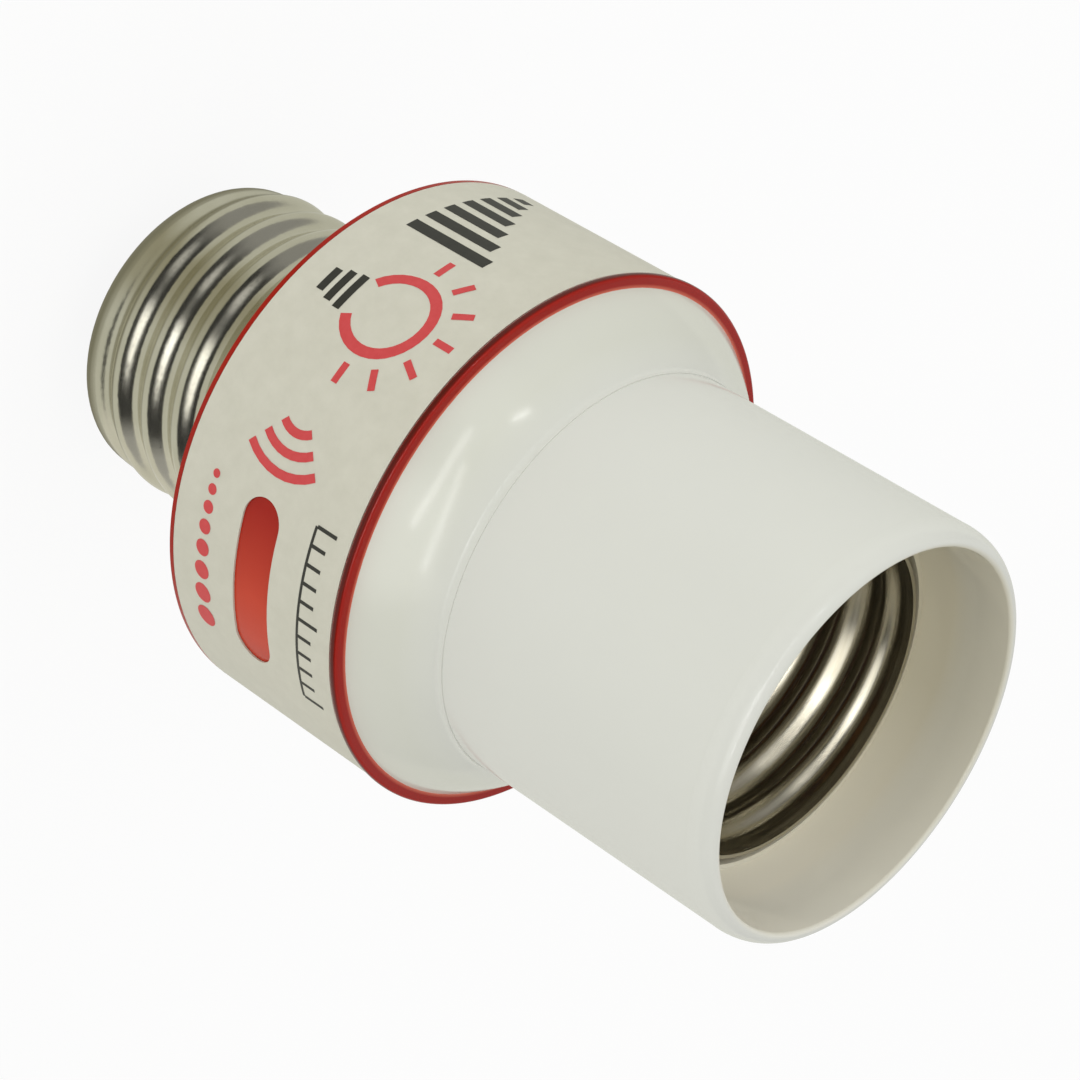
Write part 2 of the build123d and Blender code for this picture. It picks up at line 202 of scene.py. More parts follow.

# %% Ivory ABS: painted shade and light in the mouth
rim_r, wall_r = 0.0157, 0.0151
shaded_x, lit_x = -0.006, 0.013
# Painted shade: inside the radius of the mouth's wall the ivory turns a darker beige, the shade of the
# recess.
recess_shade_mask = add(
    tree, "ShaderNodeMapRange", {"Value": from_axis(tree, where), "From Min": rim_r, "From Max": wall_r}
)
# Painted light: the beige is paler towards +X, where the light falls on the wall, and darker towards -X.
side_light_mask = add(
    tree, "ShaderNodeMapRange", {"Value": across.outputs["X"], "From Min": shaded_x, "From Max": lit_x}
)
painted_mouth_light = add(
    tree, "ShaderNodeMix", {SHARE: side_light_mask.outputs["Result"], FROM: linear("D3CCB3"), TO: linear("EDE8D6")},
    data_type="RGBA",
)
ivory_with_painted_light = add(
    tree, "ShaderNodeMix",
    {SHARE: recess_shade_mask.outputs["Result"], FROM: painted_shoulder_shade.outputs[MIXED], TO: painted_mouth_light.outputs[MIXED]},
    data_type="RGBA",
)
tree.links.new(ivory_with_painted_light.outputs[MIXED], shader.inputs["Base Color"])
print("beige inside a radius of", round(1000 * wall_r, 1), "mm")

# %% [markdown]
# ## The gloss of the ivory
# A polished mould gives a gloss that isn't quite a mirror: the surface waves a little over a few
# millimetres, as moulded plastic does when it shrinks, and handling leaves it duller in places. Noise
# at those sizes gives both, one as roughness and one as bump.

# %% Ivory ABS: gloss
handling = add(tree, "ShaderNodeTexNoise", {"Vector": where, "Scale": per_mm(3.5), "Detail": 4})
gloss = add(tree, "ShaderNodeMapRange", {"Value": handling.outputs["Fac"], "To Min": 0.09, "To Max": 0.15})
tree.links.new(gloss.outputs["Result"], shader.inputs["Roughness"])
wave = add(tree, "ShaderNodeTexNoise", {"Vector": where, "Scale": per_mm(2.2), "Detail": 1})
ripple = add(tree, "ShaderNodeBump", {"Height": wave.outputs["Fac"], "Strength": 0.12, "Distance": 0.00003})
tree.links.new(ripple.outputs["Normal"], shader.inputs["Normal"])
dress(ivory, "front_housing", "rear_cover")

# %% [markdown]
# ## Red polycarbonate
# The ring behind the label is a filter: it is clear to infrared light and deep red to the eye. A little
# transmission lets the dark inside of the drum show through, and the polished edge stays glossy. Resin
# flow gives it a slow change of colour. In the label's window it gets a painted glow, brighter and more
# orange towards the receiver, so a second change runs with the distance from that spot.

# %% Red filter plastic: the pane in the window, with a painted glow
label_low, label_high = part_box("wrap_label")
label_middle = (label_low.z + label_high.z) / 2
receiver_bearing = math.radians(-42)
filter_r, lit_from, lit_full = 0.02185, 0.0092, 0.002
lit_spot = (filter_r * math.cos(receiver_bearing), filter_r * math.sin(receiver_bearing), label_middle)
filter_red, tree, shader, where = new_finish(
    "red_polycarbonate_filter", IOR=1.585, Transmission_Weight=0.2, Specular_IOR_Level=0.12
)
flow = add(tree, "ShaderNodeTexNoise", {"Vector": where, "Scale": per_mm(9), "Detail": 2})
depth = add(
    tree, "ShaderNodeMix", {SHARE: flow.outputs["Fac"], FROM: linear("A8190D"), TO: linear("B32313")},
    data_type="RGBA",
)
away = add(tree, "ShaderNodeVectorMath", {0: where, 1: lit_spot}, operation="DISTANCE")
# Painted light: the pane turns a bright orange red near the receiver's spot, a glow of light through the
# plastic.
lit = add(
    tree, "ShaderNodeMapRange", {"Value": away.outputs["Value"], "From Min": lit_from, "From Max": lit_full}
)
pane_with_painted_glow = add(
    tree, "ShaderNodeMix",
    {SHARE: lit.outputs["Result"], FROM: depth.outputs[MIXED], TO: linear("D8452A")}, data_type="RGBA",
)
print("lit spot in mm:", [round(1000 * c, 2) for c in lit_spot])

# %% [markdown]
# ## The edges of the red ring
# The thin inner edge of the ring's front bead gets a painted orange glow, as if light passed through it,
# and the outer edge gets painted shade, the deepest red. So the colour also runs with the distance from
# the axis, over a few tenths of a millimetre.

# %% Red filter plastic: painted glow and shade on the edges, and polish
glow_from, glow_full = 0.02145, 0.02118
edge_shade_from, edge_shade_full = 0.02206, 0.02215
axis_distance = from_axis(tree, where)
# Painted light: an orange glow on the bead's thin inner edge.
edge_glow_mask = add(
    tree, "ShaderNodeMapRange", {"Value": axis_distance, "From Min": glow_from, "From Max": glow_full}
)
painted_edge_glow = add(
    tree, "ShaderNodeMix",
    {SHARE: edge_glow_mask.outputs["Result"], FROM: pane_with_painted_glow.outputs[MIXED], TO: linear("E8735A")}, data_type="RGBA",
)
# Painted shade: a dark red on the bead's outer edge, next to the label.
edge_shade_mask = add(
    tree, "ShaderNodeMapRange", {"Value": axis_distance, "From Min": edge_shade_from, "From Max": edge_shade_full}
)
# The ring's colour, with its painted glow and its painted shade.
body = add(
    tree, "ShaderNodeMix",
    {SHARE: edge_shade_mask.outputs["Result"], FROM: painted_edge_glow.outputs[MIXED], TO: linear("5E140C")}, data_type="RGBA",
)
tree.links.new(body.outputs[MIXED], shader.inputs["Base Color"])
polish = add(tree, "ShaderNodeTexNoise", {"Vector": where, "Scale": per_mm(1.5), "Detail": 2})
gloss = add(tree, "ShaderNodeMapRange", {"Value": polish.outputs["Fac"], "To Min": 0.08, "To Max": 0.18})
tree.links.new(gloss.outputs["Result"], shader.inputs["Roughness"])
dress(filter_red, "window_ring")

# %% [markdown]
# ## The filter ring
# The ring's front bead is a thin round edge, and every lamp draws a line of light along it. The CAD
# mesh is made of long triangles that break such a line up, so the ring is turned again here, as on a
# lathe: its section goes once round the axis, in many small steps, and the bead's two corners are then
# rounded. The piece is drawn in millimetres and scaled to metres at the end.

# %% Helpers for new pieces
# Millimetres within which a point counts as being at a place, and within which two points become one.
NEAR, MERGE = 0.01, 0.001


def turn_round(shape, geometry):
    """Carries a section once round the axis and points its faces outwards."""
    bmesh.ops.spin(
        shape, geom=geometry, cent=(0, 0, 0), axis=(0, 0, 1), dvec=(0, 0, 0),
        angle=math.tau, steps=240, use_merge=True,
    )
    bmesh.ops.recalc_face_normals(shape, faces=shape.faces)


def to_metres(shape):
    """Scales a shape that was drawn in millimetres."""
    bmesh.ops.scale(shape, verts=shape.verts, vec=(0.001, 0.001, 0.001))


def make_piece(shape, name, material):
    """An object of this shape, at the origin."""
    mesh = bpy.data.meshes.new(name)
    shape.to_mesh(mesh)
    shape.free()
    mesh.materials.append(material)
    piece = bpy.data.objects.new(name, mesh)
    bpy.context.scene.collection.objects.link(piece)
    print(name, "faces:", len(mesh.polygons))
    return piece


def shade_turned(piece):
    """Smooth shading that stops at a turned piece's corners."""
    piece.data.shade_smooth()
    piece.data.set_sharp_from_angle(angle=math.radians(40))


print("two points within", MERGE, "mm become one")

# %% Turn the filter ring
ring_low, ring_high = (1000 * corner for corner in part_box("window_ring"))
ring_bore, ring_body, back_rim, bead = 20.25, 21.85, 22.0, ring_high.x
rim_top, bead_foot, bead_round = ring_low.z + 0.4, ring_high.z - 0.75, 0.3
section = (
    (ring_bore, ring_low.z), (back_rim, ring_low.z), (back_rim, rim_top), (ring_body, rim_top),
    (ring_body, bead_foot), (bead, bead_foot), (bead, ring_high.z), (ring_bore, ring_high.z),
)
ring = bmesh.new()
corners = [ring.verts.new((r, 0, z)) for r, z in section]
sides = [ring.edges.new(pair) for pair in zip(corners, corners[1:] + corners[:1])]
turn_round(ring, corners + sides)
bead_edges = [e for e in ring.edges if all(v.co.xy.length > bead - NEAR for v in e.verts)]
round_edges = [e for e in bead_edges if e.verts[0].co.z == e.verts[1].co.z]
bmesh.ops.bevel(
    ring, geom=round_edges, offset=bead_round, offset_type="OFFSET", segments=5, profile=0.5,
    affect="EDGES", material=-1,
)
bmesh.ops.remove_doubles(ring, verts=ring.verts, dist=MERGE)
to_metres(ring)
filter_ring = make_piece(ring, "filter_ring", filter_red)
shade_turned(filter_ring)
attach(filter_ring, "adapter")
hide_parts("window_ring")

# %% [markdown]
# ## The lip of the mouth
# The neck ends in a soft lip, an ellipse on the outside and a small round on the inside. Light runs
# along it all the way round, so the CAD mesh's long triangles would show here too, and a turned lip
# covers them with a skin of a hundredth of a millimetre. Each arc is a quarter turn of one point,
# stretched to its size. The section is closed inside the plastic and goes once round the axis.

# %% Turn the lip
neck_r, bore_r, mouth_z = 16.7, 15.3, 1000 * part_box("front_housing")[1].z
inner_round, outer_drop, skin = 0.3, 2.0, 0.01
crest_r = bore_r + inner_round
lip = bmesh.new()
for start, wide, high in ((0, neck_r - crest_r, outer_drop), (90, inner_round, inner_round)):
    made = len(lip.verts)
    point = lip.verts.new((math.cos(math.radians(start)), 0, math.sin(math.radians(start))))
    bmesh.ops.spin(
        lip, geom=[point], cent=(0, 0, 0), axis=(0, -1, 0), dvec=(0, 0, 0),
        angle=math.radians(90), steps=10,
    )
    lip.verts.ensure_lookup_table()
    arc = lip.verts[made:]
    bmesh.ops.scale(lip, verts=arc, vec=(wide + skin, 1, high + skin))
    bmesh.ops.translate(lip, verts=arc, vec=(crest_r, 0, mouth_z - high))
bmesh.ops.remove_doubles(lip, verts=lip.verts, dist=MERGE)
lip.edges.new([v for v in lip.verts if len(v.link_edges) == 1])
turn_round(lip, lip.verts[:] + lip.edges[:])
to_metres(lip)
mouth_lip = make_piece(lip, "mouth_lip", ivory)
shade_turned(mouth_lip)
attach(mouth_lip, "adapter")

# %% [markdown]
# ## Coated label paper
# The label is a cream paper with a thin varnish. Its fibres are a few hundredths of a millimetre wide,
# too fine for this picture, so they are drawn about ten times as coarse. A slow mottle over a few
# millimetres is the filler in the sheet.

# %% Label paper
paper, tree, shader, where = new_finish("label_paper_varnished", IOR=1.48)
mottle = add(
    tree, "ShaderNodeTexNoise", {"Vector": where, "Scale": per_mm(1.6), "Detail": 5, "Roughness": 0.65}
)
sheet_tint = add(
    tree, "ShaderNodeMix", {SHARE: mottle.outputs["Fac"], FROM: linear("C6C4B3"), TO: linear("D7D5C5")},
    data_type="RGBA",
)
tree.links.new(sheet_tint.outputs[MIXED], shader.inputs["Base Color"])
fibre = add(tree, "ShaderNodeTexNoise", {"Vector": where, "Scale": per_mm(0.3), "Detail": 3})
varnish = add(tree, "ShaderNodeMapRange", {"Value": mottle.outputs["Fac"], "To Min": 0.42, "To Max": 0.58})
tree.links.new(varnish.outputs["Result"], shader.inputs["Roughness"])
nap = add(tree, "ShaderNodeBump", {"Height": fibre.outputs["Fac"], "Strength": 0.2, "Distance": 0.00002})
tree.links.new(nap.outputs["Normal"], shader.inputs["Normal"])
dress(paper, "wrap_label")

# %% [markdown]
# ## Bright nickel plate
# The screw base is brass sheet, rolled into its screw and plated with nickel. Nickel is a metal with a
# slightly warm grey. The rolls leave fine lines round the shell, so the noise is stretched: long round
# the axis and narrow along it. Metal keeps the shader's default IOR.

# %% Nickel on the screw base
nickel, tree, shader, where = new_finish("bright_nickel_rolled_sheet", Metallic=1.0)
along = add(
    tree, "ShaderNodeMapping", {"Vector": where, "Scale": (per_mm(9), per_mm(9), per_mm(0.25))}
)
lines = add(tree, "ShaderNodeTexNoise", {"Vector": along.outputs["Vector"], "Scale": 1, "Detail": 3})
bloom = add(tree, "ShaderNodeTexNoise", {"Vector": where, "Scale": per_mm(4), "Detail": 4})
plate = add(
    tree, "ShaderNodeMix", {SHARE: bloom.outputs["Fac"], FROM: linear("C8C4B0"), TO: linear("DEDBCD")},
    data_type="RGBA",
)
tree.links.new(plate.outputs[MIXED], shader.inputs["Base Color"])
gloss = add(tree, "ShaderNodeMapRange", {"Value": lines.outputs["Fac"], "To Min": 0.13, "To Max": 0.24})
tree.links.new(gloss.outputs["Result"], shader.inputs["Roughness"])
rolled = add(
    tree, "ShaderNodeBump", {"Height": lines.outputs["Fac"], "Strength": 0.12, "Distance": 0.00001}
)
tree.links.new(rolled.outputs["Normal"], shader.inputs["Normal"])
dress(nickel, "screw_shell")

# %% [markdown]
# ## Worn nickel with painted shade
# The socket's own shell had the same plating. Lamps have been screwed into it, so its lines are
# rougher here, and it lies in the shade of the neck, so its colour is darker: painted shade.

# %% Nickel in the socket
worn_shaded_nickel, tree, shader, where = new_finish("dull_nickel_rolled_sheet", Metallic=1.0)
along = add(
    tree, "ShaderNodeMapping", {"Vector": where, "Scale": (per_mm(8), per_mm(8), per_mm(0.3))}
)
lines = add(tree, "ShaderNodeTexNoise", {"Vector": along.outputs["Vector"], "Scale": 1, "Detail": 4})
# Painted shade: darker plate tones than on the screw base.
plate = add(
    tree, "ShaderNodeMix", {SHARE: lines.outputs["Fac"], FROM: linear("A39D8A"), TO: linear("C6C1B1")},
    data_type="RGBA",
)
tree.links.new(plate.outputs[MIXED], shader.inputs["Base Color"])
gloss = add(tree, "ShaderNodeMapRange", {"Value": lines.outputs["Fac"], "To Min": 0.16, "To Max": 0.32})
tree.links.new(gloss.outputs["Result"], shader.inputs["Roughness"])
rolled = add(
    tree, "ShaderNodeBump", {"Height": lines.outputs["Fac"], "Strength": 0.15, "Distance": 0.00001}
)
tree.links.new(rolled.outputs["Normal"], shader.inputs["Normal"])
dress(worn_shaded_nickel, "socket_shell")

# %% [markdown]
# ## Brass and spring bronze
# The contact tip is a turned brass stud, and the rivet is brass too. The leaf spring is phosphor
# bronze, a redder metal. Both were pressed or turned and then handled, which leaves a soft tarnish in
# patches.

# %% Brass and bronze
finishes = {}
for name, pale, dark in (
    ("brass_turned_tarnished", "D9BE86", "B08F55"),
    ("phosphor_bronze_spring", "D0A072", "A87448"),
):
    metal, tree, shader, where = new_finish(name, Metallic=1.0)
    tarnish = add(tree, "ShaderNodeTexNoise", {"Vector": where, "Scale": per_mm(2.5), "Detail": 5})
    tone = add(
        tree, "ShaderNodeMix", {SHARE: tarnish.outputs["Fac"], FROM: linear(pale), TO: linear(dark)},
        data_type="RGBA",
    )
    tree.links.new(tone.outputs[MIXED], shader.inputs["Base Color"])
    gloss = add(
        tree, "ShaderNodeMapRange", {"Value": tarnish.outputs["Fac"], "To Min": 0.2, "To Max": 0.38}
    )
    tree.links.new(gloss.outputs["Result"], shader.inputs["Roughness"])
    finishes[name] = metal
dress(finishes["brass_turned_tarnished"], "tip_contact", "contact_rivet")
dress(finishes["phosphor_bronze_spring"], "contact_foot", "contact_tongue")

# %% [markdown]
# ## Moulded phenolics, board and components
# The base's black insulator and the socket's brown floor are phenolic: a filled resin pressed hot, hard
# and half glossy, with a fine speckle of its filler. The board and the components inside the drum are
# closed in, and they get plain finishes of the same kind: two tones of a speckle and an even gloss.
# Each line of the table gives a finish its two tones, the speckle's size in millimetres, its roughness
# and the nodes that have it.

# %% Speckled resins and lacquers
speckled = {
    "black_phenolic_pressed": ("1B1A19", "2A2826", 0.5, 0.34, "base_insulator"),
    "brown_phenolic_pressed": ("4A2E20", "5E3D2B", 0.6, 0.42, "socket_floor"),
    "tan_board_laminate": ("A98B57", "BDA06B", 0.8, 0.5, "circuit_board"),
    "black_epoxy_moulded": (
        "1F1F21", "2B2B2E", 0.4, 0.45, "infrared_receiver", "triac", "control_chip", "rectifier_diodes"
    ),
    "yellow_capacitor_case": ("C59B2E", "D2AA40", 1.2, 0.35, "film_capacitor"),
    "blue_capacitor_sleeve": ("22304F", "2C3C60", 1.5, 0.3, "electrolytic_capacitor"),
    "grey_resistor_lacquer": ("7C8F93", "8C9FA3", 0.7, 0.4, "fuse_resistor"),
    "white_lead_insulation": ("CFCBC0", "DAD6CC", 1.0, 0.45, "tip_lead", "shell_lead"),
}
for name, (dark, pale, size, rough, *wearers) in speckled.items():
    resin, tree, shader, where = new_finish(name, IOR=1.55, Roughness=rough)
    filler = add(tree, "ShaderNodeTexNoise", {"Vector": where, "Scale": per_mm(size), "Detail": 4})
    tone = add(
        tree, "ShaderNodeMix", {SHARE: filler.outputs["Fac"], FROM: linear(dark), TO: linear(pale)},
        data_type="RGBA",
    )
    tree.links.new(tone.outputs[MIXED], shader.inputs["Base Color"])
    grit = add(
        tree, "ShaderNodeBump", {"Height": filler.outputs["Fac"], "Strength": 0.1, "Distance": 0.00002}
    )
    tree.links.new(grit.outputs["Normal"], shader.inputs["Normal"])
    dress(resin, *wearers)

# %% [markdown]
# ## Zinc-plated steel
# The three screws in the rear cover are steel with a thin bluish zinc plating. Small screws are plated
# loose in a barrel, which leaves their tone a little uneven. Voronoi cells of half a millimetre change
# it from spot to spot.

# %% Zinc on the cover screws
zinc, tree, shader, where = new_finish("zinc_plated_steel", Metallic=1.0)
grain = add(tree, "ShaderNodeTexVoronoi", {"Vector": where, "Scale": per_mm(0.5)})
tone = add(
    tree, "ShaderNodeMix", {SHARE: grain.outputs["Distance"], FROM: linear("AEB2B5"), TO: linear("C9CCCE")},
    data_type="RGBA",
)
tree.links.new(tone.outputs[MIXED], shader.inputs["Base Color"])
gloss = add(tree, "ShaderNodeMapRange", {"Value": grain.outputs["Distance"], "To Min": 0.24, "To Max": 0.4})
tree.links.new(gloss.outputs["Result"], shader.inputs["Roughness"])
dress(zinc, "cover_screws")

# %% [markdown]
# ## The print on the label
# The label carries a plain two-colour print: a lamp with rays, a ramp of bars for the brightness, arcs
# that point at the window, and a scale. It could be painted with nodes, but small shapes stay crisp as
# thin films of ink. They are drawn flat, as on a printer's sheet, in millimetres from the sheet's
# middle, and then rolled round the drum. Two operators draw all of it: an edge spun round a centre
# gives dots, rings and arcs, and a grid gives strokes. Both are cut every half millimetre, so that they
# can be rolled.

# %% Two pens for the print
CUT = 0.5


def draw_arc(ink, centre, inner, outer, start, sweep):
    """A dot, ring or arc: a line from the inner to the outer radius, spun about the centre."""
    middle = Vector((*centre, 0))
    ray = Vector((math.cos(math.radians(start)), math.sin(math.radians(start)), 0))
    count = max(1, round((outer - inner) / CUT))
    line = [ink.verts.new(middle + ray * (inner + (outer - inner) * i / count)) for i in range(count + 1)]
    edges = [ink.edges.new(pair) for pair in zip(line, line[1:])]
    bmesh.ops.spin(
        ink, geom=line + edges, cent=middle, axis=(0, 0, 1), dvec=(0, 0, 0),
        angle=math.radians(sweep), steps=max(6, round(sweep / 10)), use_merge=sweep == 360,
    )


def draw_stroke(ink, centre, length, height, turn=0):
    """A straight stroke, turned about its centre."""
    size = Matrix.Diagonal((length / 2, height / 2, 1, 1))
    spot = Matrix.Translation((*centre, 0)) @ Matrix.Rotation(math.radians(turn), 4, "Z") @ size
    cuts_along, cuts_across = max(1, round(length / CUT)), max(1, round(height / CUT))
    bmesh.ops.create_grid(ink, x_segments=cuts_along, y_segments=cuts_across, size=1, matrix=spot)


red_print = bmesh.new()
charcoal_print = bmesh.new()
print("the sheet is", round(1000 * math.tau * label_high.x, 1), "mm round")

# %% [markdown]
# ## The lamp and its bars
# The lamp's glass is a ring that stays open at its foot, with seven short rays over it, and three
# strokes are its screw. To its left, seven bars rise from one line, each a little taller than the last.

# %% Draw the lamp and the bars
lamp_middle = Vector((-8, 0.6))
glass_inner, glass_outer, glass_start, glass_sweep = 3.0, 3.9, -62, 304
ray_middle, ray_length, ray_width = 5.6, 1.7, 0.6
screw_top, screw_pitch, screw_height = -3.6, 1.15, 0.7
draw_arc(red_print, lamp_middle, glass_inner, glass_outer, glass_start, glass_sweep)
for turn in range(0, 181, 30):
    way = Vector((math.cos(math.radians(turn)), math.sin(math.radians(turn))))
    draw_stroke(red_print, lamp_middle + way * ray_middle, ray_length, ray_width, turn)
for step, width in enumerate((3.4, 3.0, 2.2)):
    draw_stroke(charcoal_print, (lamp_middle.x, screw_top - screw_pitch * step), width, screw_height)
first_bar, bar_pitch, bar_width, bar_foot = -27.5, 1.9, 1.1, -5.6
low_bar, bar_rise = 1.2, 1.15
for step in range(7):
    height = low_bar + bar_rise * step
    draw_stroke(charcoal_print, (first_bar + bar_pitch * step, bar_foot + height / 2), bar_width, height)
print("faces so far:", len(red_print.faces), "red and", len(charcoal_print.faces), "charcoal")

# %% [markdown]
# ## Arcs, dots and the scale
# Three arcs stand for the signal, and they open towards the label's window. Under the window runs a row
# of dots that grow, and over it a scale with ten steps, whose first, middle and last marks are longer.

# %% Draw the arcs, the dots and the scale
signal_middle, signal_width, signal_start, signal_sweep = (0.6, 0), 0.7, -38, 76
for reach in (2.0, 3.6, 5.2):
    draw_arc(red_print, signal_middle, reach, reach + signal_width, signal_start, signal_sweep)
row_x, row_y, first_dot, dot_growth, dot_gap = 8.4, -5.4, 0.35, 0.085, 0.5
for step in range(8):
    dot = first_dot + dot_growth * step
    row_x += dot
    draw_arc(red_print, (row_x, row_y), 0, dot, 0, 360)
    row_x += dot + dot_gap
scale_middle, scale_y, scale_length, scale_width = 15.4, 5.2, 15, 0.25
first_mark, mark_pitch, mark_width, mark_lift = 7.9, 1.5, 0.3, 0.1
draw_stroke(charcoal_print, (scale_middle, scale_y), scale_length, scale_width)
for step in range(11):
    mark = 1.4 if step % 5 else 2.0
    centre = (first_mark + mark_pitch * step, scale_y + mark_lift + mark / 2)
    draw_stroke(charcoal_print, centre, mark_width, mark)
print("print faces:", len(red_print.faces), "red and", len(charcoal_print.faces), "charcoal")

# %% [markdown]
# ## Roll the print round the drum
# The sheet's middle faces the camera, and a point that lies x millimetres along the sheet goes x
# divided by the radius round the drum. The film stands 0.02 mm off the paper, so that the two never
# fight for the same place, and has a thickness of its own. The inks are matt, and they show the paper's
# mottle faintly.

# %% Ink films
label_r, front = label_high.x, math.radians(-90)
film_r, film_thickness = label_r + 0.00002, 0.00001
for name, drawing, dense, faded in (
    ("label_print_red", red_print, "C9383A", "D5494B"),
    ("label_print_charcoal", charcoal_print, "262620", "34342D"),
):
    bmesh.ops.remove_doubles(drawing, verts=drawing.verts, dist=MERGE)
    for v in drawing.verts:
        angle = front + v.co.x / 1000 / label_r
        v.co = (film_r * math.cos(angle), film_r * math.sin(angle), label_middle + v.co.y / 1000)
    bmesh.ops.recalc_face_normals(drawing, faces=drawing.faces)
    if sum(f.normal.dot(Vector((*f.calc_center_median().xy, 0))) for f in drawing.faces) < 0:
        bmesh.ops.reverse_faces(drawing, faces=drawing.faces)
    bmesh.ops.solidify(drawing, geom=drawing.faces, thickness=film_thickness)
    ink, tree, shader, where = new_finish(name.replace("print", "ink"), IOR=1.5, Roughness=0.5)
    mottle = add(tree, "ShaderNodeTexNoise", {"Vector": where, "Scale": per_mm(0.5), "Detail": 3})
    tone = add(
        tree, "ShaderNodeMix", {SHARE: mottle.outputs["Fac"], FROM: linear(dense), TO: linear(faded)},
        data_type="RGBA",
    )
    tree.links.new(tone.outputs[MIXED], shader.inputs["Base Color"])
    film = make_piece(drawing, name, ink)
    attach(film, "adapter")

# %% [markdown]
# ## The spring contact
# In the socket's floor a leaf of spring bronze rises to meet the lamp's tip. The CAD part has it in two
# solids, because a joint needs two bodies, but the real one is a single strip. So one strip replaces
# both solids. It starts with its foot: a flat grid whose inside is taken out, bridged to the circle of
# the rivet's hole. The grid's cuts next to the middle move out to the width of the leg that will hang
# from the foot.

# %% The foot of the leaf
foot_back, foot_front, foot_z, rivet_x = -8.6, -5.3, 48.5, -7.0
leaf_half, leg_half, hole_r = 2.5, 1.5, 1.1
leaf = bmesh.new()
foot_middle = Matrix.Translation(((foot_back + foot_front) / 2, 0, foot_z))
foot_size = Matrix.Diagonal(((foot_front - foot_back) / 2, leaf_half, 1, 1))
bmesh.ops.create_grid(leaf, x_segments=4, y_segments=4, size=1, matrix=foot_middle @ foot_size)
bmesh.ops.delete(leaf, geom=[v for v in leaf.verts if not v.is_boundary], context="VERTS")
for v in leaf.verts:
    if abs(abs(v.co.y) - leaf_half / 2) < NEAR:
        v.co.y = math.copysign(leg_half, v.co.y)
hole_middle = Matrix.Translation((rivet_x, 0, foot_z))
bmesh.ops.create_circle(leaf, cap_ends=False, radius=hole_r, segments=16, matrix=hole_middle)
bmesh.ops.bridge_loops(leaf, edges=leaf.edges[:])
print("foot faces:", len(leaf.faces))

# %% [markdown]
# ## Bending the leaf
# A press bends such a strip in a few strokes, and the mesh follows them: the edges at one end of the
# foot are carried straight on for each flat, by extruding, and round a point for each bend, by a spin.
# At the front that gives the root's bend, the ramp, the crown that the lamp touches and its short tip,
# and at the back the knee and the leg that goes down through the floor.

# %% Ways to carry an edge on
def end_at(x, z, half):
    """The leaf's edges that lie across it at this place, up to this half width."""
    here = [v for v in leaf.verts if abs(v.co.x - x) + abs(v.co.z - z) < NEAR]
    within = [v for v in here if abs(v.co.y) < half + NEAR]
    return [e for e in leaf.edges if all(v in within for v in e.verts)]


def run(edges, x, z, steps=1):
    """Carries the edges straight on by x and z, in equal steps."""
    for _ in range(steps):
        grown = bmesh.ops.extrude_edge_only(leaf, edges=edges)["geom"]
        ahead = [g for g in grown if isinstance(g, bmesh.types.BMVert)]
        bmesh.ops.translate(leaf, verts=ahead, vec=(x / steps, 0, z / steps))
        grown_edges = [g for g in grown if isinstance(g, bmesh.types.BMEdge)]
        edges = [e for e in grown_edges if all(v in ahead for v in e.verts)]
    return edges


def bend(edges, x, z, degrees, steps):
    """Carries the edges round a bend about the point x, z."""
    rim = list(dict.fromkeys(v for e in edges for v in e.verts))
    grown = bmesh.ops.spin(
        leaf, geom=rim + edges, cent=(x, 0, z), axis=(0, 1, 0), dvec=(0, 0, 0),
        angle=math.radians(degrees), steps=steps,
    )
    return [g for g in grown["geom_last"] if isinstance(g, bmesh.types.BMEdge)]


print("edges at the foot's front:", len(end_at(foot_front, foot_z, leaf_half)))

# %% Bend the leaf
rise, crown_turn = 28, 86
up, down = math.radians(rise), math.radians(crown_turn - rise)
root_r, ramp_length, crown_r, tip_length = 1.2, 5.8, 2.2, 0.5
knee_r, leg_length = 0.4, 8.9
root = bend(end_at(foot_front, foot_z, leaf_half), foot_front, foot_z + root_r, -rise, 4)
ramp_end = run(root, ramp_length * math.cos(up), ramp_length * math.sin(up), 6)
top = ramp_end[0].verts[0].co
crown = bend(ramp_end, top.x + crown_r * math.sin(up), top.z - crown_r * math.cos(up), crown_turn, 10)
run(crown, tip_length * math.cos(down), -tip_length * math.sin(down))
knee = bend(end_at(foot_back, foot_z, leg_half), foot_back, foot_z - knee_r, -90, 4)
run(knee, 0, -leg_length)
bmesh.ops.remove_doubles(leaf, verts=leaf.verts, dist=MERGE)
bmesh.ops.recalc_face_normals(leaf, faces=leaf.faces)
heights = [v.co.z for v in leaf.verts]
print("leaf from", round(min(heights), 2), "to", round(max(heights), 2), "mm high")

# %% [markdown]
# ## Sheet thickness and the stamped edge
# The strip gets the thickness of its sheet, half to each side, and a fine bevel where the stamp cut it.

# %% Finish the leaf
to_metres(leaf)
contact_leaf = make_piece(leaf, "contact_leaf", finishes["phosphor_bronze_spring"])
contact_leaf.data.shade_smooth()
wall = contact_leaf.modifiers.new("sheet", "SOLIDIFY")
wall.thickness = 0.0004
wall.offset = 0
stamped = contact_leaf.modifiers.new("stamped_edge", "BEVEL")
stamped.width = 0.00006
stamped.segments = 2
stamped.limit_method = "ANGLE"
stamped.harden_normals = True
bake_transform(contact_leaf)
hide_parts("contact_foot", "contact_tongue")

# %% [markdown]
# ## The floor
# The photograph is a cut-out on white. So the floor shows white to the camera, to reflections and
# through clear plastic, but it keeps a share of its own shading there, and with it the object's soft
# shadow.

